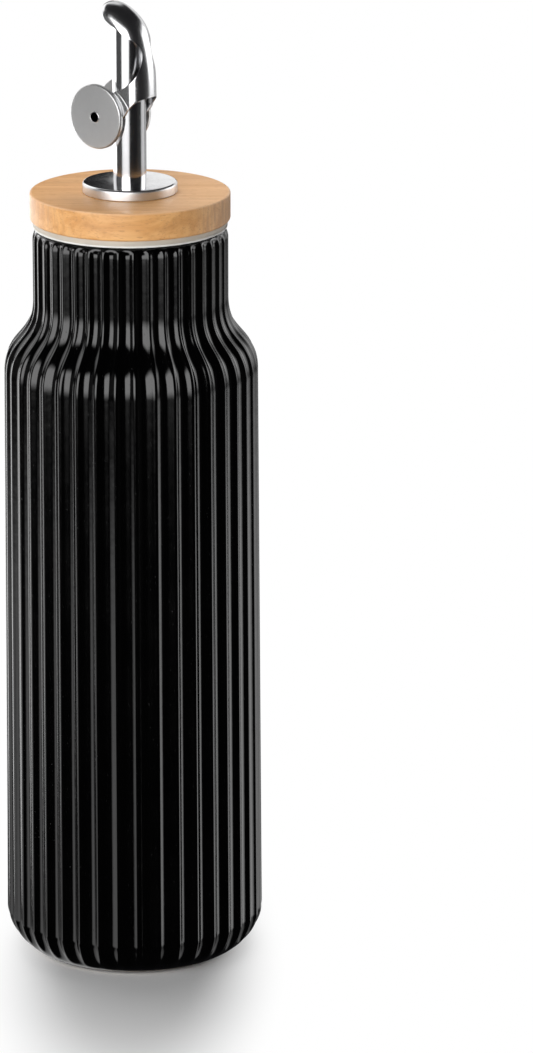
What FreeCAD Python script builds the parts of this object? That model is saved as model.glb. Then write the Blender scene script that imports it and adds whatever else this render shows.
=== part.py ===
import FreeCAD, Part
import math
import os

# An oil dispenser: a fluted stoneware bottle, a wooden lid on a silicone ring, and a
# steel pourer whose flap is held shut by two weights and swings open as the bottle tips.
# Millimetres. The origin is the centre of the foot, Z is up, oil is poured towards -X
# and the flap's hinge lies along Y. Each solid is written to parts/ under its own name.

# bottle
bottle_height = 210.2
foot_radius = 26.7
foot_round_height = 11.0
foot_round_power = 1.7
body_radius_low = 36.45
body_radius_high = 35.45
shoulder_height = 21.2
neck_height = 20.2
shoulder_pull_low = 11.4
shoulder_pull_high = 11.7
neck_radius = 27.2
rim_round_width = 2.4
rim_round_height = 3.4

# flutes, cut all round the bottle
flute_count = 40
flute_turn = 5.3
flute_depth_ratio = 0.032
ridge_share = 0.26
flute_top_gap = 0.3
flute_top_length = 2.2
flute_foot_end = 1.0
flute_foot_length = 7.0

# gasket and lid
gasket_thickness = 2.0
gasket_radius = 27.0
lid_radius = 27.8
lid_thickness = 7.8
lid_top_round = 0.5
lid_low_round = 0.8

# pourer
flange_radius = 13.15
flange_height = 3.2
flange_round = 1.1
tube_radius = 4.6
tube_wall = 0.6
mouth_rise = 24.6
mouth_slope = 0.45

# flap, hinge and weights: heights are given above flap_level
flap_rise = 17.8
sheet = 0.45
flap_clearance = 0.3
flap_back_depth = 4.2
pad_thickness = 0.3
pad_centre_x = -4.5
pad_centre_z = -0.86
pad_radius = 9.4
hinge_x = 0.0
hinge_z = 3.6
hinge_pin_radius = 1.2
hinge_clearance = 0.05
weight_x = -6.65
weight_z = 0.2
weight_radius = 9.0
weight_thickness = 1.4
weight_round = 0.5
weight_pin_radius = 1.6
weight_pin_bore = 1.32
weight_pin_proud = 0.1
ear_radius = 4.2

shoulder_high = bottle_height - neck_height
shoulder_low = shoulder_high - shoulder_height
flute_top_end = bottle_height - flute_top_gap
lid_floor = bottle_height + gasket_thickness
lid_top = lid_floor + lid_thickness
flange_top = lid_top + flange_height
flap_level = flange_top + flap_rise
mouth_height = flap_level + mouth_rise
tube_bore_radius = tube_radius - tube_wall
flap_half_width = tube_radius + flap_clearance + sheet
pad_face = flap_half_width + pad_thickness
weight_face = pad_face + weight_thickness

UP = FreeCAD.Vector(0, 0, 1)
ACROSS = FreeCAD.Vector(0, 1, 0)


def save(shape, name):
    os.makedirs("parts", exist_ok=True)
    if not shape.isValid() or len(shape.Solids) != 1:
        raise RuntimeError(name + " isn't one valid solid")
    shape.Solids[0].exportStep("parts/" + name + ".step")
    print(name, "volume mm3", round(shape.Volume, 1))


# the bottle's outline over its ridges

def shoulder_radius(z):
    low = 0.0
    high = 1.0
    t = 0.5
    for _ in range(40):
        t = (low + high) / 2
        s = 1 - t
        height = s ** 3 * shoulder_low
        height += 3 * s * s * t * (shoulder_low + shoulder_pull_low)
        height += 3 * s * t * t * (shoulder_high - shoulder_pull_high)
        height += t ** 3 * shoulder_high
        if height < z:
            low = t
        else:
            high = t
    s = 1 - t
    wide = s ** 3 + 3 * s * s * t
    return body_radius_high * wide + neck_radius * (1 - wide)


def outline_radius(z):
    rim_start = bottle_height - rim_round_height
    if z < foot_round_height:
        t = (foot_round_height - z) / foot_round_height
        share = max(0.0, 1 - t ** foot_round_power) ** (1 / foot_round_power)
        return foot_radius + (body_radius_low - foot_radius) * share
    if z < shoulder_low:
        t = (z - foot_round_height) / (shoulder_low - foot_round_height)
        return body_radius_low + (body_radius_high - body_radius_low) * t
    if z < shoulder_high:
        return shoulder_radius(z)
    if z < rim_start:
        return neck_radius
    t = (z - rim_start) / rim_round_height
    return neck_radius - rim_round_width * (1 - math.sqrt(max(0.0, 1 - t * t)))


def flute_depth(z):
    depth = flute_depth_ratio * outline_radius(z)
    up = (z - (flute_top_end - flute_top_length)) / flute_top_length
    down = (flute_foot_end + flute_foot_length - z) / flute_foot_length
    for part in (up, down):
        part = min(1.0, max(0.0, part))
        depth *= 0.5 + 0.5 * math.cos(math.pi * part)
    return depth


def flute_share(s):
    # 1 at the middle of a flute (s = 0) and 0 on a ridge (s = 1 or -1)
    s = abs(s)
    turn = 1 - ridge_share
    if s < turn:
        return 1 - s * s / turn
    return (1 - s) ** 2 / ridge_share


def flute_curve(z):
    # one flute across, from the middle of a flute over a ridge to the next
    ridge = 1 - ridge_share
    shares = [0.0, ridge * 0.35, ridge * 0.68, ridge, 1 - ridge_share * 0.66, 1 - ridge_share * 0.33]
    across = shares + [1.0] + [2 - s for s in reversed(shares)]
    pitch = 360.0 / flute_count
    points = []
    for s in across:
        angle = math.radians(flute_turn + pitch * (s - 1) / 2)
        place = s if s <= 1 else 2 - s
        r = outline_radius(z) - flute_depth(z) * flute_share(place)
        points.append(FreeCAD.Vector(r * math.cos(angle), r * math.sin(angle), z))
    curve = Part.BSplineCurve()
    curve.interpolate(Points=points, Parameters=across)
    return curve.toShape()


def bottle():
    foot = [0.0, 0.12, 0.35, 0.7, 1.2, 1.8, 2.6, 3.6, 4.8, 6.2, 7.6, 9.2, foot_round_height]
    step = (shoulder_high - shoulder_low) / 14
    shoulder = [shoulder_low + step * i for i in range(15)]
    rim_start = bottle_height - rim_round_height
    rim = [rim_start + rim_round_height * math.sin(math.pi / 36 * i) for i in range(19)]
    strips = []
    for heights in (foot, shoulder, rim):
        strips.append(Part.makeLoft([Part.Wire([flute_curve(z)]) for z in heights], False))
    strips.append(Part.makeRuledSurface(flute_curve(foot[-1]), flute_curve(shoulder[0])))
    strips.append(Part.makeRuledSurface(flute_curve(shoulder[-1]), flute_curve(rim[0])))
    faces = []
    for i in range(flute_count):
        for strip in strips:
            copy = strip.copy()
            copy.rotate(FreeCAD.Vector(0, 0, 0), UP, 360.0 / flute_count * i)
            faces += copy.Faces
    for level in (0.0, bottle_height):
        edges = []
        for i in range(flute_count):
            edge = flute_curve(level)
            edge.rotate(FreeCAD.Vector(0, 0, 0), UP, 360.0 / flute_count * i)
            edges.append(edge)
        faces.append(Part.Face(Part.Wire(edges)))
    skin = Part.makeCompound(faces)
    skin.sewShape(0.001)
    solid = Part.Solid(skin.Shells[0])
    if solid.Volume < 0:
        solid.reverse()
    print("bottle faces", len(faces), "shells", len(skin.Shells))
    return solid


def round_edges(shape, radius, z):
    edges = [e for e in shape.Edges if abs(e.BoundBox.ZMin - z) < 0.01 and e.BoundBox.ZLength < 0.01]
    return shape.makeFillet(radius, edges)


def gasket():
    ring = Part.makeCylinder(gasket_radius, gasket_thickness, FreeCAD.Vector(0, 0, bottle_height))
    return round_edges(ring, 0.4, bottle_height)


def lid():
    disc = Part.makeCylinder(lid_radius, lid_thickness, FreeCAD.Vector(0, 0, lid_floor))
    disc = round_edges(disc, lid_low_round, lid_floor)
    return round_edges(disc, lid_top_round, lid_top)


def flange():
    disc = Part.makeCylinder(flange_radius, flange_height, FreeCAD.Vector(0, 0, lid_top))
    disc = round_edges(disc, flange_round, flange_top)
    return disc.cut(Part.makeCylinder(tube_radius, flange_height, FreeCAD.Vector(0, 0, lid_top)))


def pour_tube():
    # the tube stands in the flange, its bore is blind at the flange's top face,
    # and a short hinge pin on each side carries the flap's ears
    tube = Part.makeCylinder(tube_radius, mouth_height + 5 - lid_top, FreeCAD.Vector(0, 0, lid_top))
    hinge = FreeCAD.Vector(hinge_x, -flap_half_width, flap_level + hinge_z)
    tube = tube.fuse(Part.makeCylinder(hinge_pin_radius, 2 * flap_half_width, hinge, ACROSS))
    bore = Part.makeCylinder(tube_bore_radius, mouth_height, FreeCAD.Vector(0, 0, flange_top))
    tube = tube.cut(bore)
    reach = 10.0
    corners = [
        FreeCAD.Vector(-reach, -reach, mouth_height + mouth_slope * reach),
        FreeCAD.Vector(reach, -reach, mouth_height - mouth_slope * reach),
        FreeCAD.Vector(reach, -reach, mouth_height + 30),
        FreeCAD.Vector(-reach, -reach, mouth_height + 30),
    ]
    above = Part.Face(Part.makePolygon(corners + [corners[0]])).extrude(ACROSS * (2 * reach))
    return tube.cut(above).removeSplitter()


# the flap: a sheet bent to a U that wraps the tube's back and curls over its mouth.
# Each station is the ridge point (x, z), the way the U opens (degrees down from -X),
# half width, depth of the round part, and full depth.

STATIONS = [
    (7.85, -7.0, 0, 1.0, 1.0, 21.0),
    (7.85, -2.0, 0, 1.0, 1.0, 21.0),
    (7.82, 3.0, 0, 1.0, 1.0, 21.0),
    (7.75, 8.0, 0, 1.0, 1.0, 20.0),
    (7.58, 12.0, 3, 1.0, 1.0, 16.0),
    (7.22, 15.5, 7, 1.0, 1.0, 12.0),
    (6.68, 18.5, 12, 1.0, 1.0, 9.5),
    (5.95, 21.5, 18, 1.0, 1.0, 8.5),
    (5.12, 24.0, 25, 1.0, 1.0, 8.0),
    (3.75, 26.4, 35, 1.0, 1.0, 7.5),
    (1.85, 28.4, 45, 1.0, 1.0, 7.0),
    (-0.4, 30.0, 56, 0.99, 1.0, 6.6),
    (-2.7, 31.2, 70, 0.97, 1.0, 6.0),
    (-4.7, 31.7, 82, 0.92, 0.94, 5.2),
    (-6.2, 31.7, 90, 0.79, 0.72, 3.9),
    (-7.3, 31.25, 90, 0.575, 0.43, 2.7),
    (-7.9, 30.7, 90, 0.36, 0.22, 1.7),
    (-8.2, 30.15, 90, 0.16, 0.09, 0.9),
]

# side view of the flap's edges, from the ear up round the opening to the lip
OPENING_EDGE = [
    (-1.62, 7.42), (-0.6, 7.83), (0.5, 8.22), (1.63, 8.77), (3.2, 9.66), (4.54, 10.7), (5.56, 11.95),
    (6.22, 13.5), (6.52, 15.0), (6.57, 16.3), (6.48, 17.8), (6.27, 19.0), (5.93, 20.15), (5.38, 21.2),
    (4.62, 22.1), (3.7, 22.8), (2.6, 23.5), (1.35, 24.3), (-0.06, 25.16), (-1.4, 25.85), (-3.3, 26.8),
    (-5.0, 27.95), (-6.4, 28.95), (-7.6, 29.75), (-8.9, 30.5),
]
LOW_EDGE = [
    (10.0, 6.9), (7.8, 6.5), (6.9, 6.0), (5.9, 5.35), (4.9, 4.45), (4.0, 3.35), (3.1, 2.0),
    (2.1, 0.85), (0.7, -0.6), (-1.0, -2.0),
]


def u_section(station, count):
    x, z, opens, width, depth, reach = station
    half = flap_half_width * width
    round_part = flap_back_depth * depth
    angle = math.radians(opens)
    along = (-math.cos(angle), -math.sin(angle))
    points = []
    for i in range(-count, count + 1):
        share = abs(i) / count
        bend = min(1.0, share / 0.6)
        into = round_part * (1 - math.cos(math.pi / 2 * bend))
        side = half * math.sin(math.pi / 2 * bend)
        if share > 0.6:
            into += (reach - round_part) * (share - 0.6) / 0.4
        if i < 0:
            side = -side
        points.append(FreeCAD.Vector(x + along[0] * into, side, flap_level + z + along[1] * into))
    return points


def flap_sheet():
    count = 15
    outer = [u_section(station, count) for station in STATIONS]
    inner = []
    last = len(outer) - 1
    for i in range(last + 1):
        row = []
        for j in range(2 * count + 1):
            up = outer[min(last, i + 1)][j] - outer[max(0, i - 1)][j]
            side = outer[i][min(2 * count, j + 1)] - outer[i][max(0, j - 1)]
            normal = up.cross(side)
            normal.normalize()
            row.append(outer[i][j] + normal * sheet)
        inner.append(row)
    skins = []
    for grid in (outer, inner):
        surface = Part.BSplineSurface()
        surface.interpolate(grid)
        skins.append(surface.toShape())
    sides = []
    for edge in skins[0].Edges:
        middle = edge.valueAt((edge.FirstParameter + edge.LastParameter) / 2)
        twin = min(skins[1].Edges, key=lambda e: e.distToShape(Part.Vertex(middle))[0])
        sides.append(Part.makeRuledSurface(edge, twin))
    skin = Part.makeCompound(skins + sides)
    skin.sewShape()
    solid = Part.Solid(skin.Shells[0])
    if solid.Volume < 0:
        solid.reverse()
    return solid


def side_point(x, z):
    return FreeCAD.Vector(x, -12, flap_level + z)


def smooth_edge(points):
    curve = Part.BSplineCurve()
    curve.interpolate([side_point(x, z) for x, z in points])
    return curve.toShape()


def flap_outline():
    # the ear is a round of ear_radius about the weights' pin, joined to both edges
    top = side_point(*OPENING_EDGE[0])
    low = side_point(*LOW_EDGE[-1])
    crown = side_point(weight_x + 0.42 * ear_radius, weight_z + 0.9075 * ear_radius)
    nose = side_point(weight_x - ear_radius, weight_z)
    chin = side_point(weight_x + 0.3 * ear_radius, weight_z - 0.954 * ear_radius)
    lip = side_point(*OPENING_EDGE[-1])
    back = side_point(*LOW_EDGE[0])
    over = [lip, side_point(OPENING_EDGE[-1][0], 36), side_point(LOW_EDGE[0][0], 36), back]
    edges = [
        smooth_edge(OPENING_EDGE),
        Part.makePolygon(over).Edges[0],
        Part.makePolygon(over).Edges[1],
        Part.makePolygon(over).Edges[2],
        smooth_edge(LOW_EDGE),
        Part.makeLine(low, chin),
        Part.Arc(chin, nose, crown).toShape(),
        Part.makeLine(crown, top),
    ]
    face = Part.Face(Part.Wire(Part.__sortEdges__(edges)))
    return face.extrude(ACROSS * 24)


def across_rod(radius, x, z, low, high):
    return Part.makeCylinder(radius, high - low, FreeCAD.Vector(x, low, flap_level + z), ACROSS)


def flap():
    shape = flap_sheet()
    for low, high in ((-pad_face, 0.25 - flap_half_width), (flap_half_width - 0.25, pad_face)):
        shape = shape.fuse(across_rod(pad_radius, pad_centre_x, pad_centre_z, low, high))
    shape = shape.common(flap_outline())
    shape = shape.cut(across_rod(hinge_pin_radius + hinge_clearance, hinge_x, hinge_z, -9, 9))
    shape = shape.cut(across_rod(weight_pin_radius, weight_x, weight_z, -9, 9))
    return shape


def weight(side):
    low = pad_face if side > 0 else -weight_face
    disc = across_rod(weight_radius, weight_x, weight_z, low, low + weight_thickness)
    outer = side * weight_face
    edges = [e for e in disc.Edges if abs(e.BoundBox.YMin - outer) < 0.01 and e.BoundBox.YLength < 0.01]
    disc = disc.makeFillet(weight_round, edges)
    return disc.cut(across_rod(weight_pin_radius, weight_x, weight_z, -9, 9))


def weight_pin():
    end = weight_face + weight_pin_proud
    pin = across_rod(weight_pin_radius, weight_x, weight_z, -end, end)
    return pin.cut(across_rod(weight_pin_bore, weight_x, weight_z, -9, 9))


save(bottle(), "bottle")
save(gasket(), "gasket")
save(lid(), "lid")
save(flange(), "flange")
save(pour_tube(), "pour_tube")
save(flap(), "flap")
save(weight(-1), "weight_near")
save(weight(1), "weight_far")
save(weight_pin(), "weight_pin")
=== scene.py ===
import math
import bmesh
import bpy
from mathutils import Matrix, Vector


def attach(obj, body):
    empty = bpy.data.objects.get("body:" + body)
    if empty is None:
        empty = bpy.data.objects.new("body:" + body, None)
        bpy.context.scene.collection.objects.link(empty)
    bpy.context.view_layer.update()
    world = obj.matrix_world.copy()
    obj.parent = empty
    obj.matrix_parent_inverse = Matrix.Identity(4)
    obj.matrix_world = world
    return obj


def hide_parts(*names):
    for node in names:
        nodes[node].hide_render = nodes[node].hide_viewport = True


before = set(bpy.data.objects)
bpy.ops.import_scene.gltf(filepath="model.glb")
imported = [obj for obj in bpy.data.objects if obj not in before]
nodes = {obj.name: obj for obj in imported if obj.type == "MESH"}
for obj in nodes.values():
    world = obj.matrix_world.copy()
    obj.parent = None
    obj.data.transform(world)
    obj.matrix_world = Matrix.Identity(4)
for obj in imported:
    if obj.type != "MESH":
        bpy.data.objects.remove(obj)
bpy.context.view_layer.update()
mm = 0.001
print("frame loaded:", sorted(nodes))


# camera and the studio's directions

view = {
    "place": (0.97945, -1.18796, 0.57829),
    "turn": 38.1,      # degrees round from the front
    "tip": 16.47,      # degrees down
    "lens": 195.0,
    "sensor": 36.0,
    "nearest": 0.05,
}
turn = math.radians(view["turn"])
rightWay = Vector((math.cos(turn), math.sin(turn), 0))
frontWay = Vector((math.sin(turn), -math.cos(turn), 0))   # from the bottle towards the viewer


def makeCamera():
    data = bpy.data.cameras.new("camera")
    data.sensor_fit = "VERTICAL"
    data.sensor_height = view["sensor"]
    data.sensor_width = view["sensor"]
    data.lens = view["lens"]
    data.clip_start = view["nearest"]
    camera = bpy.data.objects.new("camera", data)
    bpy.context.scene.collection.objects.link(camera)
    camera.location = view["place"]
    camera.rotation_euler = (math.pi / 2 - math.radians(view["tip"]), 0, turn)
    bpy.context.scene.camera = camera


makeCamera()


def studioWay(side, rise):
    # side 0 is towards the viewer, 90 is the viewer's right, 180 is behind the bottle
    side = math.radians(side)
    rise = math.radians(rise)
    flat = rightWay * math.sin(side) + frontWay * math.cos(side)
    return flat * math.cos(rise) + Vector((0, 0, math.sin(rise)))


# shader wiring: a Wire is a socket that Python's operators work on

class Wire:
    def __init__(self, tree, socket):
        self.tree = tree
        self.socket = socket

    def maths(self, kind, *parts):
        node = self.tree.nodes.new("ShaderNodeMath")
        node.operation = kind
        for i, part in enumerate(parts):
            if isinstance(part, Wire):
                self.tree.links.new(part.socket, node.inputs[i])
            else:
                node.inputs[i].default_value = part
        return Wire(self.tree, node.outputs[0])

    def __add__(self, other):
        return self.maths("ADD", self, other)

    def __radd__(self, other):
        return self.maths("ADD", other, self)

    def __sub__(self, other):
        return self.maths("SUBTRACT", self, other)

    def __rsub__(self, other):
        return self.maths("SUBTRACT", other, self)

    def __mul__(self, other):
        return self.maths("MULTIPLY", self, other)

    def __rmul__(self, other):
        return self.maths("MULTIPLY", other, self)

    def __truediv__(self, other):
        return self.maths("DIVIDE", self, other)

    def __rtruediv__(self, other):
        return self.maths("DIVIDE", other, self)

    def __pow__(self, other):
        return self.maths("POWER", self, other)

    def __abs__(self):
        return self.maths("ABSOLUTE", self)

    def least(self, other):
        return self.maths("MINIMUM", self, other)


class Finish:
    # one material, with a principled shader unless bare
    def __init__(self, name, bare=False, owner=None, **fixed):
        self.material = owner or bpy.data.materials.new(name)
        self.material.use_nodes = True
        self.tree = self.material.node_tree
        self.tree.nodes.clear()
        ends = {"World": "ShaderNodeOutputWorld", "AreaLight": "ShaderNodeOutputLight"}
        self.end = self.node(ends.get(type(self.material).__name__, "ShaderNodeOutputMaterial"))
        if not bare:
            names = {key.replace("_", " "): value for key, value in fixed.items()}
            self.shader = self.node("ShaderNodeBsdfPrincipled", {}, names)
            self.feed(self.end, {"Surface": self.shader})

    def node(self, kind, settings=None, sockets=None, out=0):
        made = self.tree.nodes.new(kind)
        for key, value in (settings or {}).items():
            setattr(made, key, value)
        wire = Wire(self.tree, made.outputs[out] if made.outputs else made.inputs[0])
        self.feed(wire, sockets or {})
        return wire

    def feed(self, wire, sockets):
        for key, value in sockets.items():
            socket = wire.socket.node.inputs[key]
            if isinstance(value, Wire):
                self.tree.links.new(value.socket, socket)
            elif hasattr(value, "__len__") and len(value) == 3 and socket.type == "RGBA":
                socket.default_value = (*value, 1)
            else:
                socket.default_value = value

    def place(self, turned=0.0, stretch=(1, 1, 1)):
        # the point on the piece in metres, turned about Z and stretched
        where = self.node("ShaderNodeTexCoord", out=3)
        if turned:
            sockets = {"Vector": where, "Rotation": (0, 0, math.radians(turned))}
            where = self.node("ShaderNodeMapping", {}, sockets)
        return self.node("ShaderNodeMapping", {}, {"Vector": where, "Scale": stretch})

    def axes(self, where):
        split = self.node("ShaderNodeSeparateXYZ", {}, {"Vector": where})
        return [Wire(self.tree, socket) for socket in split.socket.node.outputs]

    def noise(self, where, scale, detail=3.0, rough=0.5, warp=0.0):
        return self.node("ShaderNodeTexNoise", {}, {
            "Vector": where, "Scale": scale, "Detail": detail, "Roughness": rough,
            "Distortion": warp,
        })

    def band(self, value, low, high, start=0.0, end=1.0):
        # a soft step from start to end while the value goes from low to high
        return self.node("ShaderNodeMapRange", {"interpolation_type": "SMOOTHSTEP"}, {
            "Value": value, "From Min": low, "From Max": high, "To Min": start, "To Max": end,
        })

    def mix(self, share, first, second):
        sockets = {0: share, 6: first, 7: second}
        return self.node("ShaderNodeMix", {"data_type": "RGBA"}, sockets, out=2)

    def bump(self, height, deep):
        return self.node("ShaderNodeBump", {}, {"Height": height, "Distance": deep})

    def paint(self, **sockets):
        self.feed(self.shader, {key.replace("_", " "): value for key, value in sockets.items()})
        return self.material


# lamps: each softbox covers these degrees round and up, stands this far from the aim in
# metres, and fades out over these shares of its width and height

softboxes = {
    "frontLeft": {
        "round": (-57, 3), "up": (-15.5, 46),
        "bright": 4.4, "far": 1.5, "fade": (0.08, 0.28),
    },
    "left": {
        "round": (-179, -98), "up": (-26, 3),
        "bright": 3.0, "far": 1.5, "fade": (0.12, 0.10),
    },
    "leftHigh": {
        "round": (-166, -101), "up": (3, 50),
        "bright": 1.4, "far": 1.5, "fade": (0.2, 0.2),
    },
    "leftFoot": {
        "round": (-179, -84), "up": (-62, -24),
        "bright": 0.7, "far": 1.5, "fade": (0.2, 0.2),
    },
    "leftGap": {
        "round": (-100, -58), "up": (-13, 30),
        "bright": 0.11, "far": 1.6, "fade": (0.05, 0.2),
    },
    "leftGapLow": {
        "round": (-100, -54), "up": (-36, -14),
        "bright": 1.4, "far": 1.6, "fade": (0.35, 0.2),
    },
    "right": {
        "round": (84, 134), "up": (-14.5, 34),
        "bright": 2.4, "far": 1.5, "fade": (0.22, 0.35), "lights": False,
    },
    "rightLow": {
        "round": (80, 136), "up": (-34, -9),
        "bright": 2.4, "far": 1.6, "fade": (0.25, 0.35), "lights": False,
    },
    "rightFar": {
        "round": (130, 164), "up": (-24, 12),
        "bright": 0.5, "far": 1.5, "fade": (0.2, 0.2), "lights": False,
    },
    "rightFoot": {
        "round": (92, 150), "up": (-52, -24),
        "bright": 0.5, "far": 1.5, "fade": (0.25, 0.2),
    },
    "rightGap": {
        "round": (46, 92), "up": (-22, 26),
        "bright": 0.03, "far": 1.6, "fade": (0.5, 0.2),
    },
    "back": {
        "round": (158, 206), "up": (24, 60),
        "bright": 0.9, "far": 1.9, "fade": (0.3, 0.3),
    },
    "above": {
        "round": (140, 220), "up": (30, 82),
        "bright": 4.2, "far": 1.7, "fade": (0.1, 0.1), "mirrored": False,
    },
}
lampAim = (0, 0, 0.15)     # metres


def makeSoftbox(name, box):
    rise = sum(box["up"]) / 2
    way = studioWay(sum(box["round"]) / 2, rise)
    lamp = bpy.data.lights.new(name, "AREA")
    lamp.shape = "RECTANGLE"
    wide = math.tan(math.radians(box["round"][1] - box["round"][0]) / 2)
    tall = math.tan(math.radians(box["up"][1] - box["up"][0]) / 2)
    lamp.size = 2 * box["far"] * wide * math.cos(math.radians(rise))
    lamp.size_y = 2 * box["far"] * tall
    lamp.energy = box["bright"] * math.pi * lamp.size * lamp.size_y
    cloth = Finish(name, bare=True, owner=lamp)
    across, along, _ = cloth.axes(cloth.node("ShaderNodeNewGeometry", out=5))
    fadeAcross, fadeAlong = box["fade"]
    soft = cloth.band(across, 0, fadeAcross) * cloth.band(across, 1 - fadeAcross, 1, 1, 0)
    soft = soft * cloth.band(along, 0, fadeAlong) * cloth.band(along, 1 - fadeAlong, 1, 1, 0)
    glow = cloth.node("ShaderNodeEmission", {}, {"Color": (1, 1, 1), "Strength": soft})
    cloth.feed(cloth.end, {"Surface": glow})
    thing = bpy.data.objects.new(name, lamp)
    bpy.context.scene.collection.objects.link(thing)
    thing.location = way * box["far"] + Vector(lampAim)
    thing.rotation_euler = way.to_track_quat("Z", "Y").to_euler()
    thing.visible_camera = False
    thing.visible_glossy = box.get("mirrored", True)
    thing.visible_diffuse = box.get("lights", True)


for name, box in softboxes.items():
    makeSoftbox(name, box)
print("camera and lamps placed")


# floor: it keeps the bottle's shadow in an oval, and turns plain white outside it

floorLook = {
    "size": 14.0, "colour": (0.80, 0.80, 0.80), "mottle": 0.985, "mottleScale": 9.0,
    "shadeFront": 0.02, "shadeWide": 0.042, "shadeLong": 0.13,
    "whiteFrom": 0.40, "whiteAt": 1.05,
}


def raysThatSee(look):
    # one for camera rays, one for glossy or transmission rays
    camera = look.node("ShaderNodeLightPath", out=0)
    path = camera.socket.node
    glossy = Wire(look.tree, path.outputs["Is Glossy Ray"])
    through = Wire(look.tree, path.outputs["Is Transmission Ray"])
    return (camera, (glossy + through).least(1.0))


def makeFloor():
    look = Finish("paleFloor", bare=True)
    where = look.place()
    x, y, _ = look.axes(where)
    mottle = look.band(look.noise(where, floorLook["mottleScale"], 4), 0.3, 0.7)
    darker = [c * floorLook["mottle"] for c in floorLook["colour"]]
    colour = look.mix(mottle, darker, floorLook["colour"])
    shade = look.node("ShaderNodeBsdfDiffuse", {}, {"Color": colour})
    white = look.node("ShaderNodeEmission", {}, {"Color": (1, 1, 1), "Strength": 1.0})
    camera, shiny = raysThatSee(look)
    across = (x * rightWay.x + y * rightWay.y) / floorLook["shadeWide"]
    front = x * frontWay.x + y * frontWay.y - floorLook["shadeFront"]
    front = front / floorLook["shadeLong"]
    oval = (across * across + front * front) ** 0.5
    far = look.band(oval, floorLook["whiteFrom"], floorLook["whiteAt"])
    share = (camera + shiny).least(1.0) * far
    both = look.node("ShaderNodeMixShader", {}, {0: share, 1: shade, 2: white})
    look.feed(look.end, {"Surface": both})
    half = floorLook["size"] / 2
    corners = [(-half, -half, 0), (half, -half, 0), (half, half, 0), (-half, half, 0)]
    mesh = bpy.data.meshes.new("floor")
    mesh.from_pydata(corners, [], [(0, 1, 2, 3)])
    mesh.materials.append(look.material)
    floor = bpy.data.objects.new("floor", mesh)
    bpy.context.scene.collection.objects.link(floor)
    floor.visible_glossy = False     # so that the glaze stays dark in front


# each edge of the white screen fades between two values of the direction
worldLook = {
    "dim": (0.014, 0.014, 0.015), "white": (1, 1, 1),
    "screenLeft": (-0.031, -0.019), "screenBehind": (0.25, 0.5),
    "screenLow": (0.03, 0.08), "screenHigh": (0.30, 0.42),
}


def makeWorld():
    # white to the viewer, and a white screen behind on the right that steel and glaze mirror
    world = bpy.data.worlds.new("studio")
    bpy.context.scene.world = world
    look = Finish("studio", bare=True, owner=world)
    x, y, z = look.axes(look.node("ShaderNodeTexCoord"))
    across = x * rightWay.x + y * rightWay.y
    behind = x * -frontWay.x + y * -frontWay.y
    screen = look.band(across, *worldLook["screenLeft"])
    screen = screen * look.band(behind, *worldLook["screenBehind"])
    screen = screen * look.band(z, *worldLook["screenLow"])
    screen = screen * look.band(z, *worldLook["screenHigh"], 1, 0)
    camera, shiny = raysThatSee(look)
    share = (camera + shiny * screen).least(1.0)
    dim = look.node("ShaderNodeBackground", {}, {"Color": worldLook["dim"]})
    white = look.node("ShaderNodeBackground", {}, {"Color": worldLook["white"]})
    both = look.node("ShaderNodeMixShader", {}, {0: share, 1: dim, 2: white})
    look.feed(look.end, {"Surface": both})


makeFloor()
makeWorld()
bpy.context.scene.view_settings.view_transform = "Standard"
print("floor and world made")


# mesh helpers

def makePiece(name, points, faces, material, body, node, sharp=35.0):
    mesh = bpy.data.meshes.new(name)
    mesh.from_pydata(points, [], faces)
    mesh.validate()
    mesh.polygons.foreach_set("use_smooth", [True] * len(mesh.polygons))
    mesh.set_sharp_from_angle(angle=math.radians(sharp))
    mesh.materials.append(material)
    piece = bpy.data.objects.new(name, mesh)
    bpy.context.scene.collection.objects.link(piece)
    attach(piece, body)
    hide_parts(node)


def roundCorner(centre, radius, first, last, steps):
    # points of an arc, in degrees from the outward way
    points = []
    for i in range(steps + 1):
        angle = math.radians(first + (last - first) * i / steps)
        across = centre[0] + radius * math.cos(angle)
        points.append((across, centre[1] + radius * math.sin(angle)))
    return points


def turned(profile, steps, frameOf, closed=False):
    # profile is (radius, height); an open one is capped where its radius is 0
    points = []
    rings = []
    for radius, height in profile:
        if radius <= 0:
            rings.append([len(points)])
            points.append(frameOf(0, 0, height))
            continue
        rings.append(list(range(len(points), len(points) + steps)))
        for i in range(steps):
            angle = 2 * math.pi * i / steps
            points.append(frameOf(radius * math.cos(angle), radius * math.sin(angle), height))
    faces = []
    pairs = list(zip(rings, rings[1:]))
    if closed:
        pairs.append((rings[-1], rings[0]))
    for low, high in pairs:
        for i in range(steps):
            j = (i + 1) % steps
            if len(low) == 1:
                faces.append((low[0], high[j], high[i]))
            elif len(high) == 1:
                faces.append((low[i], low[j], high[0]))
            else:
                faces.append((low[i], low[j], high[j], high[i]))
    return points, faces


def upright(x, y, z):
    return (x * mm, y * mm, z * mm)


# bottle

bottleSize = {
    "height": 210.2, "foot": 26.7, "footHigh": 11.0, "footPower": 1.7,
    "bodyLow": 36.45, "bodyHigh": 35.45, "shoulderLow": 168.8, "shoulderHigh": 190.0,
    "pullLow": 11.4, "pullHigh": 11.7, "neck": 27.2, "rimWide": 2.4, "rimHigh": 3.4,
    "flutes": 40, "turn": 5.3, "deep": 0.032, "ridge": 0.26,
    "topEnd": 209.9, "topLong": 2.2, "footEnd": 1.0, "footLong": 7.0,
    "acrossFlute": 26, "footRows": 22, "bodyRows": 24, "shoulderRows": 44, "neckRows": 9,
    "rimRows": 24,
}


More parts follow.
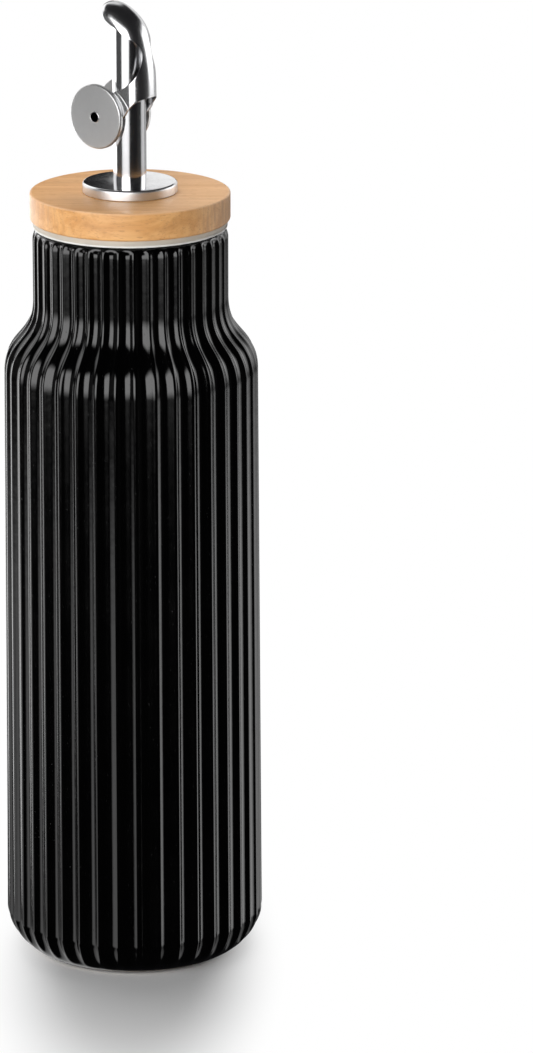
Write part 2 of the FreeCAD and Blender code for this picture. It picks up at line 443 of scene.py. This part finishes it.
def shoulderRadius(z):
    low, high, t = 0.0, 1.0, 0.5
    for _ in range(40):
        t = (low + high) / 2
        s = 1 - t
        height = s ** 3 * bottleSize["shoulderLow"]
        height += 3 * s * s * t * (bottleSize["shoulderLow"] + bottleSize["pullLow"])
        height += 3 * s * t * t * (bottleSize["shoulderHigh"] - bottleSize["pullHigh"])
        height += t ** 3 * bottleSize["shoulderHigh"]
        if height < z:
            low = t
        else:
            high = t
    s = 1 - t
    wide = s ** 3 + 3 * s * s * t
    return bottleSize["bodyHigh"] * wide + bottleSize["neck"] * (1 - wide)


def outlineRadius(z):
    rimStart = bottleSize["height"] - bottleSize["rimHigh"]
    if z < bottleSize["footHigh"]:
        t = (bottleSize["footHigh"] - z) / bottleSize["footHigh"]
        share = max(0.0, 1 - t ** bottleSize["footPower"]) ** (1 / bottleSize["footPower"])
        return bottleSize["foot"] + (bottleSize["bodyLow"] - bottleSize["foot"]) * share
    if z < bottleSize["shoulderLow"]:
        t = (z - bottleSize["footHigh"]) / (bottleSize["shoulderLow"] - bottleSize["footHigh"])
        return bottleSize["bodyLow"] + (bottleSize["bodyHigh"] - bottleSize["bodyLow"]) * t
    if z < bottleSize["shoulderHigh"]:
        return shoulderRadius(z)
    if z < rimStart:
        return bottleSize["neck"]
    t = (z - rimStart) / bottleSize["rimHigh"]
    return bottleSize["neck"] - bottleSize["rimWide"] * (1 - math.sqrt(max(0.0, 1 - t * t)))


def fluteDepth(z):
    depth = bottleSize["deep"] * outlineRadius(z)
    up = (z - (bottleSize["topEnd"] - bottleSize["topLong"])) / bottleSize["topLong"]
    down = (bottleSize["footEnd"] + bottleSize["footLong"] - z) / bottleSize["footLong"]
    for part in (up, down):
        part = min(1.0, max(0.0, part))
        depth *= 0.5 + 0.5 * math.cos(math.pi * part)
    return depth


def fluteShare(s):
    s = abs(s)
    turnPlace = 1 - bottleSize["ridge"]
    if s < turnPlace:
        return 1 - s * s / turnPlace
    return (1 - s) ** 2 / bottleSize["ridge"]


def bottleRows():
    # the heights of the mesh's rings, close together where the outline bends
    size = bottleSize
    quarter = math.pi / 2
    count = size["footRows"]
    rows = [size["footHigh"] * (1 - math.cos(quarter * i / count)) for i in range(count + 1)]
    rimStart = size["height"] - size["rimHigh"]
    stretches = (
        (size["footHigh"], size["shoulderLow"], size["bodyRows"]),
        (size["shoulderLow"], size["shoulderHigh"], size["shoulderRows"]),
        (size["shoulderHigh"], rimStart, size["neckRows"]),
    )
    for low, high, count in stretches:
        rows += [low + (high - low) * i / count for i in range(1, count + 1)]
    count = size["rimRows"]
    for i in range(1, count + 1):
        rows.append(rimStart + size["rimHigh"] * math.sin(quarter * i / count))
    return rows


def makeBottle(material):
    across = bottleSize["acrossFlute"]
    heights = bottleRows()
    rows = len(heights)
    steps = bottleSize["flutes"] * across
    pitch = 360.0 / bottleSize["flutes"]
    angles = [math.radians(bottleSize["turn"] + pitch * i / across) for i in range(steps)]
    # fluteShare takes -1 and 1 at the ridges and 0 in the middle of a flute
    shares = [fluteShare(2 * (i % across) / across - 1) for i in range(steps)]
    points = [(0, 0, 0)]
    for z in heights:
        outline = outlineRadius(z)
        depth = fluteDepth(z) if z > bottleSize["footEnd"] else 0
        for angle, share in zip(angles, shares):
            r = outline - depth * share
            points.append((r * math.cos(angle) * mm, r * math.sin(angle) * mm, z * mm))
    points.append((0, 0, bottleSize["height"] * mm))
    faces = []
    for i in range(steps):
        j = (i + 1) % steps
        faces.append((0, 1 + j, 1 + i))
        for row in range(rows - 1):
            a = 1 + row * steps
            b = a + steps
            faces.append((a + i, a + j, b + j, b + i))
        a = 1 + (rows - 1) * steps
        faces.append((a + i, a + j, len(points) - 1))
    makePiece("glazedBottle", points, faces, material, "bottle_body", "bottle", 50)
    print("bottle mesh:", len(points), "points")


# noises here and below are a scale, a detail and a roughness
glazeLook = {
    "colour": (0.00012, 0.00012, 0.00015), "thin": (0.0006, 0.0005, 0.0005),
    "foot": (0.020, 0.014, 0.011), "clay": (0.42, 0.33, 0.26), "clayDark": (0.30, 0.24, 0.19),
    "rough": 0.085, "roughMore": 0.045, "roughMost": 0.95, "orange": 0.00003,
    "cloud": (60, 4, 0.55), "fine": (900, 3, 0.6), "ripple": (260, 2, 0.5),
    "pits": (2400, 1, 0.5),
}


def makeGlaze():
    look = Finish("blackGlaze", IOR=1.47)
    where = look.place()
    z = look.axes(where)[2]
    cloud = look.noise(where, *glazeLook["cloud"])
    fine = look.noise(where, *glazeLook["fine"])
    ripple = look.noise(where, *glazeLook["ripple"])
    pits = look.band(look.noise(where, *glazeLook["pits"]), 0.74, 0.80)
    # a ring of bare clay at the foot, and browner glaze up to just above it
    foot = look.band(z + cloud * 0.0003, 0.0011, 0.0014, 1.0, 0.0)
    foot = foot * look.band(z, 0.0004, 0.0006)
    footEdge = look.band(z + cloud * 0.0004, 0.0016, 0.0026, 1.0, 0.0)
    thin = look.band(cloud, 0.35, 0.75) * 0.6
    colour = look.mix(thin, glazeLook["colour"], glazeLook["thin"])
    colour = look.mix(footEdge * 0.5, colour, glazeLook["foot"])
    clay = look.mix(fine, glazeLook["clay"], glazeLook["clayDark"])
    colour = look.mix(foot, colour, clay)
    rough = glazeLook["rough"] + glazeLook["roughMore"] * look.band(cloud, 0.3, 0.8)
    rough = (rough + fine * 0.02 + pits * 0.25 + foot * 0.6).least(glazeLook["roughMost"])
    height = ripple + fine * 0.12 - pits * 0.35
    bump = look.bump(height, glazeLook["orange"])
    return look.paint(Base_Color=colour, Roughness=rough, Normal=bump)


makeBottle(makeGlaze())


# silicone ring

ringSize = {
    "low": 210.2, "high": 212.2, "radius": 27.0, "lowRound": 0.3, "topRound": 0.2,
    "groove": 0.16, "lip": 0.62,
}
siliconeLook = {
    # the third colour on this line is a painted highlight for the ring's lower edge; the heights
    # on the next line place it
    "colour": (0.46, 0.41, 0.345), "second": (0.51, 0.46, 0.39), "lowEdgeHighlight": (0.78, 0.785, 0.76),
    "pale": (0.66, 0.65, 0.62), "lowEdgeHighlightTop": (0.2106, 0.2110),
    "rough": 0.42, "roughMore": 0.2, "deep": 0.00003, "dust": (700, 4, 0.6), "cloud": (110, 3),
}


def makeSilicone():
    look = Finish("greySilicone")
    where = look.place()
    z = look.axes(where)[2]
    dust = look.noise(where, *siliconeLook["dust"])
    cloud = look.band(look.noise(where, *siliconeLook["cloud"]), 0.3, 0.7)
    # painted highlight: a band along the ring's lower edge turns near white, standing in for
    # light caught on that edge
    lowEdgeHighlight = look.band(z, *siliconeLook["lowEdgeHighlightTop"], 1.0, 0.0)
    colour = look.mix(cloud, siliconeLook["colour"], siliconeLook["second"])
    colour = look.mix(lowEdgeHighlight * 0.75, colour, siliconeLook["lowEdgeHighlight"])
    colour = look.mix(look.band(dust, 0.6, 0.75) * 0.2, colour, siliconeLook["pale"])
    rough = siliconeLook["rough"] + dust * siliconeLook["roughMore"]
    bump = look.bump(dust, siliconeLook["deep"])
    return look.paint(Base_Color=colour, Roughness=rough, Normal=bump)


def makeRing(material):
    low, high, radius = ringSize["low"], ringSize["high"], ringSize["radius"]
    lowRound, topRound, groove = ringSize["lowRound"], ringSize["topRound"], ringSize["groove"]
    lip = low + ringSize["lip"]
    profile = [(0, low)]
    profile += roundCorner((radius - lowRound, low + lowRound), lowRound, -90, 0, 6)
    profile += [(radius, lip)]
    profile += roundCorner((radius, lip + groove), groove, 270, 90, 8)[1:-1]
    profile += [(radius, lip + 2 * groove)]
    profile += roundCorner((radius - topRound, high - topRound), topRound, 0, 90, 5)
    profile += [(0, high)]
    points, faces = turned(profile, 256, upright)
    makePiece("siliconeRing", points, faces, material, "bottle_body", "gasket")


makeRing(makeSilicone())


# wooden lid

lidSize = {
    "low": 212.2, "high": 220.0, "radius": 27.8, "topRound": 0.5, "lowRound": 0.8,
    "sideRow": 2.5, "lowRows": (0, 14, 24), "topRows": (24, 18, 12, 0), "grainTurn": 38.1,
}
woodLook = {
    "pale": (0.74, 0.405, 0.158), "deep": (0.62, 0.300, 0.096), "line": (0.42, 0.185, 0.055),
    "warm": (0.74, 0.44, 0.21), "fleck": (0.42, 0.20, 0.08), "pore": (0.26, 0.12, 0.06),
    # the last colour on this line is a painted highlight for the lid's rounded top edge
    "endGrain": (0.52, 0.27, 0.115), "edgeHighlight": (0.86, 0.60, 0.40),
    "side": (0.0272, 0.0277), "end": (0.012, 0.0255),
    # these two bands place that painted highlight on the rounded top edge, all round
    "edgeHighlightUp": (0.2195, 0.21985), "edgeHighlightOut": (0.0270, 0.0276),
    "rough": 0.36, "coat": 0.20, "carved": 0.000035,
}
# a stretch along the grain, then the noise's scale, detail, roughness and warp
woodGrains = {
    "wavy": ((0.25, 1, 1), 55, 3, 0.5),
    "rings": ((0.035, 1.0, 0.75), 340, 4, 0.55, 0.6),
    "fibre": ((0.03, 1.0, 1.0), 2100, 4, 0.65),
    "streak": ((0.05, 1.0, 0.8), 130, 3, 0.6, 0.4),
    "flecks": ((0.16, 1.0, 1.0), 1900, 2, 0.4),
    "pores": ((0.12, 1.0, 1.0), 3600, 1, 0.4),
    "endRings": ((1.0, 1.0, 0.10), 900, 4, 0.6, 0.3),
}


def makeWood():
    look = Finish("oiledBeech", Coat_Roughness=0.16, IOR=1.45)
    turnBack = -lidSize["grainTurn"]
    along, across, z = look.axes(look.place(turnBack))
    radius = (along * along + across * across) ** 0.5
    grain = {}
    for name, (stretch, *noise) in woodGrains.items():
        grain[name] = look.noise(look.place(turnBack, stretch), *noise)
    rings, fibre = grain["rings"], grain["fibre"]
    flecks = look.band(grain["flecks"], 0.62, 0.70)
    pores = look.band(grain["pores"], 0.68, 0.74)
    end = look.band(radius, *woodLook["side"]) * look.band(abs(along), *woodLook["end"])
    # painted highlight: the rounded top edge is made paler all round, standing in for light
    # caught on it
    edge = look.band(z, *woodLook["edgeHighlightUp"]) * look.band(radius, *woodLook["edgeHighlightOut"])
    layers = (
        (look.band(grain["streak"], 0.52, 0.72) * 0.45, "line"),
        (look.band(grain["wavy"], 0.35, 0.7) * 0.30, "warm"),
        (look.band(fibre, 0.50, 0.75) * 0.40, "line"),
        (flecks * 0.42, "fleck"),
        (end * look.band(grain["endRings"], 0.42, 0.68) * 0.75, "endGrain"),
        (pores * 0.35, "pore"),
        (edge * 0.35, "edgeHighlight"),
    )
    colour = look.mix(look.band(rings, 0.34, 0.66), woodLook["pale"], woodLook["deep"])
    for share, name in layers:
        colour = look.mix(share, colour, woodLook[name])
    rough = woodLook["rough"] + fibre * 0.16 + flecks * 0.12
    coat = woodLook["coat"] - look.band(rings, 0.3, 0.7) * 0.10 - end * 0.10
    height = fibre * 0.6 + rings * 0.3 - pores * 0.8 - flecks * 0.25
    bump = look.bump(height, woodLook["carved"])
    return look.paint(Base_Color=colour, Roughness=rough, Coat_Weight=coat, Normal=bump)


def makeLid(material):
    low, high, radius = lidSize["low"], lidSize["high"], lidSize["radius"]
    lowRound, topRound = lidSize["lowRound"], lidSize["topRound"]
    profile = [(r, low) for r in lidSize["lowRows"]]
    profile += roundCorner((radius - lowRound, low + lowRound), lowRound, -90, 0, 8)
    profile += [(radius, low + lidSize["sideRow"]), (radius, high - lidSize["sideRow"])]
    profile += roundCorner((radius - topRound, high - topRound), topRound, 0, 90, 8)
    profile += [(r, high) for r in lidSize["topRows"]]
    points, faces = turned(profile, 288, upright)
    makePiece("woodenLid", points, faces, material, "bottle_body", "lid")


makeLid(makeWood())
print("ring and lid made")


# steel

def makeSteel(name, values):
    # the stretch says which way the polishing lines run
    look = Finish(name, Metallic=1.0)
    where = look.place()
    cloud = look.noise(where, 190, 4, 0.55)
    hair = look.noise(look.place(0, values["stretch"]), values["lines"], 3, 0.6)
    wear = look.band(look.noise(where, 1400, 3, 0.7), 0.62, 0.8)
    darker = [c * 0.93 for c in values["colour"]]
    worn = [c * 0.8 for c in values["colour"]]
    tint = look.mix(look.band(cloud, 0.3, 0.7), values["colour"], darker)
    tint = look.mix(wear * 0.2, tint, worn)
    rough = values["rough"] + look.band(cloud, 0.3, 0.8) * 0.035 + hair * 0.04 + wear * 0.06
    return look.paint(Base_Color=tint, Roughness=rough, Normal=look.bump(hair, values["deep"]))


def makeTurnedSteel(name, centre, axis, values, hole=0.0, rim=0.0):
    # fine rings about a centre, as a lathe leaves them on a flat face; with a hole radius,
    # painted shade turns everything inside that radius nearly black
    look = Finish(name, Metallic=1.0)
    where = look.place()
    parts = look.axes(where)
    flat = [parts[i] - centre[i] for i in range(3) if i != axis]
    radius = (flat[0] * flat[0] + flat[1] * flat[1]) ** 0.5
    ringPlace = look.node("ShaderNodeCombineXYZ", {}, {"X": radius})
    rings = look.noise(ringPlace, 7000, 3, 0.7)
    wide = look.noise(ringPlace, 900, 2, 0.5)
    cloud = look.noise(where, 240, 4, 0.55)
    darker = [c * 0.94 for c in values["colour"]]
    worn = [c * 0.8 for c in values["colour"]]
    tint = look.mix(look.band(cloud, 0.3, 0.7), values["colour"], darker)
    tint = look.mix(look.band(rings, 0.5, 0.8) * 0.25, tint, worn)
    rough = values["rough"] + rings * 0.08 + wide * 0.03 + look.band(cloud, 0.3, 0.8) * 0.04
    height = rings + wide * 0.5
    if rim:
        rough = rough + look.band(radius, rim - 0.0004, rim) * 0.30
    # painted shade: inside the hole radius the colour goes nearly black and rougher, standing in
    # for the shade down the bore
    if hole:
        boreShadeShare = look.band(radius, hole * 0.97, hole, 1.0, 0.0)
        tint = look.mix(boreShadeShare, tint, (0.004, 0.004, 0.004))
        rough = rough + boreShadeShare * 0.5
    return look.paint(Base_Color=tint, Roughness=rough, Normal=look.bump(height, values["deep"]))


# flange

flangeSize = {
    "low": 220.0, "high": 223.2, "radius": 13.15, "round": 0.8, "hole": 4.5, "fall": 0.25,
    "lowCut": 0.2, "lowRow": 9, "sideRow": 1.0, "topRows": 24, "rim": 13.1,
}
flangeLook = {"colour": (0.80, 0.80, 0.81), "rough": 0.05, "deep": 0.000002}


def makeFlange(material):
    low, high, radius = flangeSize["low"], flangeSize["high"], flangeSize["radius"]
    curve, hole, cut = flangeSize["round"], flangeSize["hole"], flangeSize["lowCut"]
    fall, count = flangeSize["fall"], flangeSize["topRows"]
    profile = [(hole, low), (flangeSize["lowRow"], low), (radius - cut, low)]
    profile += [(radius, low + cut), (radius, low + flangeSize["sideRow"])]
    profile += roundCorner((radius - curve, high - fall - curve), curve, 0, 86, 14)
    flat = radius - curve - hole
    for i in range(1, count + 1):
        r = radius - curve - flat * i / count
        profile.append((r, high - fall * ((r - hole) / flat) ** 2))
    points, faces = turned(profile, 256, upright, closed=True)
    makePiece("steelFlange", points, faces, material, "bottle_body", "flange", 40)


flangeCentre = (0, 0, flangeSize["high"] * mm)
makeFlange(makeTurnedSteel(
    "turnedFlangeSteel", flangeCentre, 2, flangeLook, rim=flangeSize["rim"] * mm
))

# tube and flap keep their CAD shapes

tubeLook = {
    "colour": (0.64, 0.64, 0.65), "rough": 0.13, "lines": 2600, "deep": 0.000002,
    "stretch": (1, 1, 0.03),
}
flapLook = {
    "colour": (0.76, 0.76, 0.77), "rough": 0.19, "lines": 2200, "deep": 0.000003,
    "stretch": (1, 0.08, 1), "weld": 0.004, "cutAngle": 50, "roundOff": 0.10, "roundRows": 3,
    "sharp": 50,
}
tubeSteel = makeSteel("polishedTubeSteel", tubeLook)
flapSteel = makeSteel("polishedFlapSteel", flapLook)


def paintNode(node, material):
    thing = nodes[node]
    if not thing.material_slots:
        thing.data.materials.append(material)
    for slot in thing.material_slots:
        slot.material = material


def makeRounded(name, node, body, material, look):
    # a copy of the node's shape whose cut edges are rounded, so that they catch the light
    mesh = nodes[node].data.copy()
    mesh.name = name
    mesh.transform(nodes[node].matrix_world)
    mesh.materials.clear()
    mesh.materials.append(material)
    piece = bpy.data.objects.new(name, mesh)
    bpy.context.scene.collection.objects.link(piece)
    shaper = bmesh.new()
    shaper.from_mesh(mesh)
    bmesh.ops.remove_doubles(shaper, verts=shaper.verts, dist=look["weld"] * mm)
    limit = math.radians(look["cutAngle"])
    inner = [edge for edge in shaper.edges if len(edge.link_faces) == 2]
    cuts = [edge for edge in inner if edge.calc_face_angle(0) > limit]
    bmesh.ops.bevel(
        shaper, geom=cuts, offset=look["roundOff"] * mm, segments=look["roundRows"],
        profile=0.5, affect="EDGES", clamp_overlap=True
    )
    for face in shaper.faces:
        face.smooth = True
    shaper.to_mesh(mesh)
    shaper.free()
    mesh.set_sharp_from_angle(angle=math.radians(look["sharp"]))
    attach(piece, body)
    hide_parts(node)


paintNode("pour_tube", tubeSteel)
makeRounded("bentFlap", "flap", "flap_body", flapSteel, flapLook)

# weights and their hollow pin

weightSize = {
    "x": -6.65, "z": 241.2, "radius": 9.0, "thick": 1.4, "inner": 5.65, "round": 0.5,
    "pin": 1.6, "bore": 1.32, "proud": 0.1, "dome": 0.22, "backCut": 0.08, "backRow": 5,
    # the last value on this line is the radius out to which the pin's bore gets painted shade
    "sideRow": 0.5, "faceRows": 16, "boreShadeRadius": 1.42,
}
weightLook = {"colour": (0.56, 0.56, 0.56), "rough": 0.36, "deep": 0.000006}
pinLook = {"colour": (0.80, 0.80, 0.81), "rough": 0.12, "deep": 0.000002}


def makeWeight(name, node, side, material):
    size = weightSize
    radius, pin, cut = size["radius"], size["pin"], size["backCut"]
    curve, outer, count = size["round"], size["thick"], size["faceRows"]
    flat = radius - curve
    profile = [(pin, 0), (size["backRow"], 0), (radius - cut, 0)]
    profile += [(radius, cut), (radius, size["sideRow"])]
    profile += roundCorner((flat, outer - size["dome"] - curve), curve, 0, 88, 10)
    for i in range(1, count + 1):
        r = flat + (pin - flat) * i / count
        profile.append((r, outer - size["dome"] * (r / flat) ** 2))

    def lay(x, y, z):
        return ((size["x"] + x) * mm, side * (size["inner"] + z) * mm, (size["z"] + y) * mm)

    points, faces = turned(profile, 160, lay, closed=True)
    if side > 0:
        faces = [tuple(reversed(face)) for face in faces]
    makePiece(name, points, faces, material, "flap_body", node, 40)


def makeWeightPin(material):
    size = weightSize
    end = size["inner"] + size["thick"] + size["proud"]
    wall = (size["pin"] - size["bore"]) / 2
    middle = size["bore"] + wall
    profile = [(size["bore"], 0)]
    profile += roundCorner((middle, -end + wall), wall, 180, 360, 10)
    profile += [(size["pin"], 0)]
    profile += roundCorner((middle, end - wall), wall, 0, 180, 10)

    def lay(x, y, z):
        return ((size["x"] + x) * mm, -z * mm, (size["z"] + y) * mm)

    points, faces = turned(profile, 96, lay, closed=True)
    makePiece("hollowPin", points, faces, material, "flap_body", "weight_pin", 40)


centre = (weightSize["x"] * mm, 0.0, weightSize["z"] * mm)
weightSteel = makeTurnedSteel("satinWeightSteel", centre, 1, weightLook)
makeWeight("nearWeight", "weight_near", -1, weightSteel)
makeWeight("farWeight", "weight_far", 1, weightSteel)
# painted shade down the hollow pin's bore, out to this radius
boreShadeRadius = weightSize["boreShadeRadius"] * mm
makeWeightPin(makeTurnedSteel("pinSteel", centre, 1, pinLook, boreShadeRadius))
print("pourer finished")
